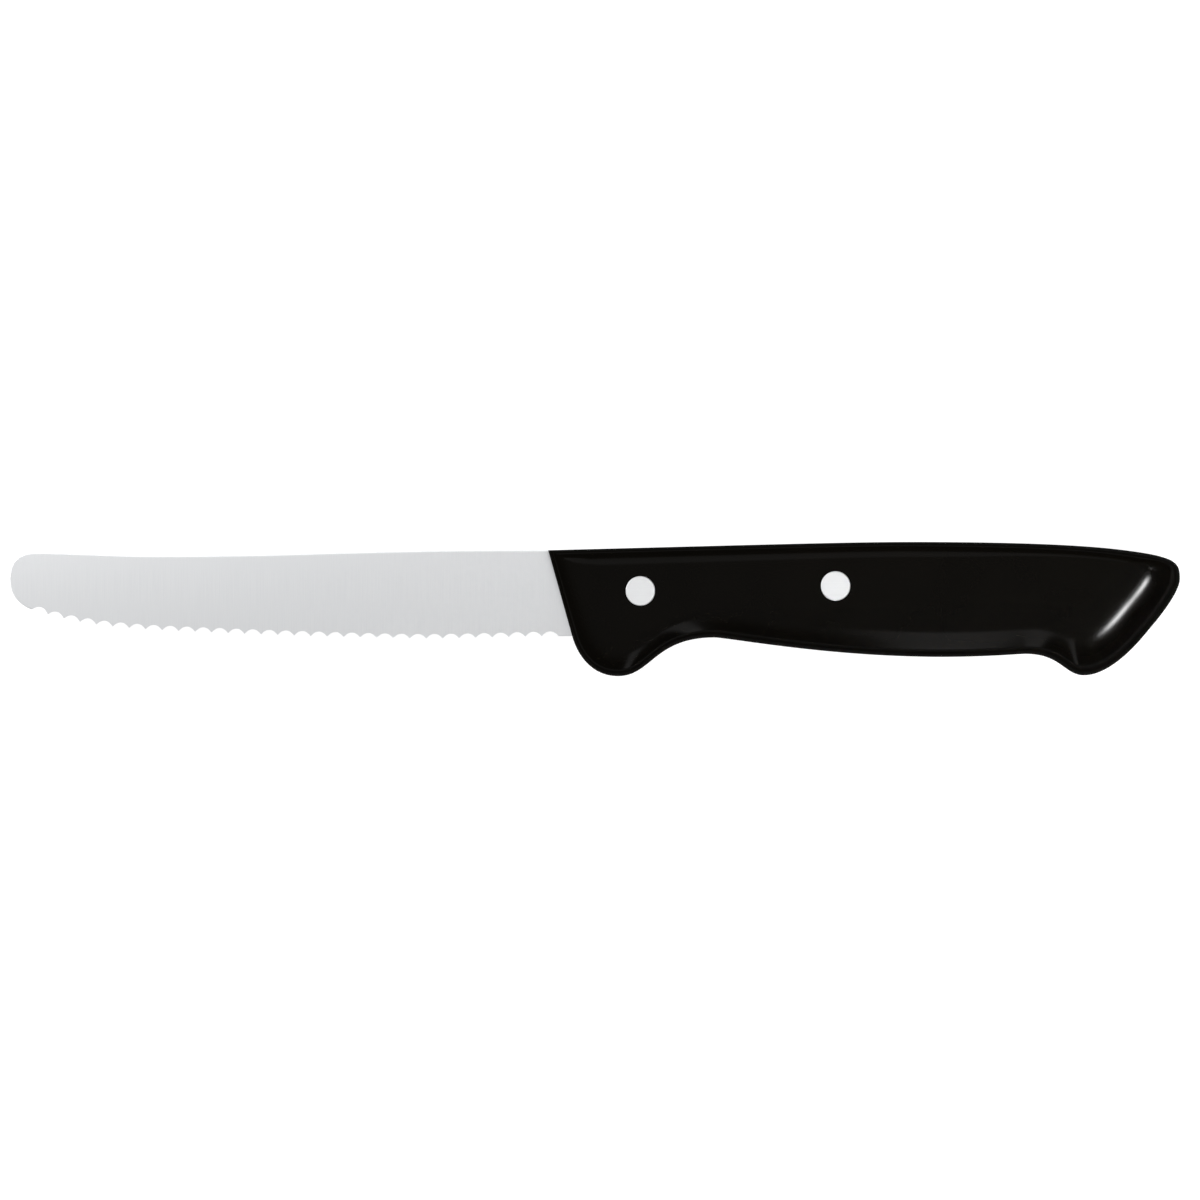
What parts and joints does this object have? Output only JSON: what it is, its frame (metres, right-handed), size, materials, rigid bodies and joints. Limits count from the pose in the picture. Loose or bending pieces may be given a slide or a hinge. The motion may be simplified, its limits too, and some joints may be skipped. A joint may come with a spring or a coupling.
{
  "type": "snack knife",
  "caption": "Snack knife with a rounded tip and a fine wavy edge, its tang riveted into a slotted black moulded handle with a finger guard and a hooked end.",
  "frame": {"origin": "middle of the knife's outline, on the surface that its right side rests on", "axes": "+X from the tip to the end of the handle, +Y from the edge to the spine, +Z from the right side to the left side"},
  "size_m": [0.2126, 0.0244, 0.014],
  "materials": {
    "blade_steel": "fine ground satin",
    "handle_plastic": "smooth moulded satin",
    "rivet_steel": "ground flush with the handle"
  },
  "bodies": {
    "root": {"blade": "blade_steel", "handle": "handle_plastic", "front_rivet_male": "rivet_steel", "front_rivet_female": "rivet_steel", "rear_rivet_male": "rivet_steel", "rear_rivet_female": "rivet_steel"}
  },
  "joints": []
}
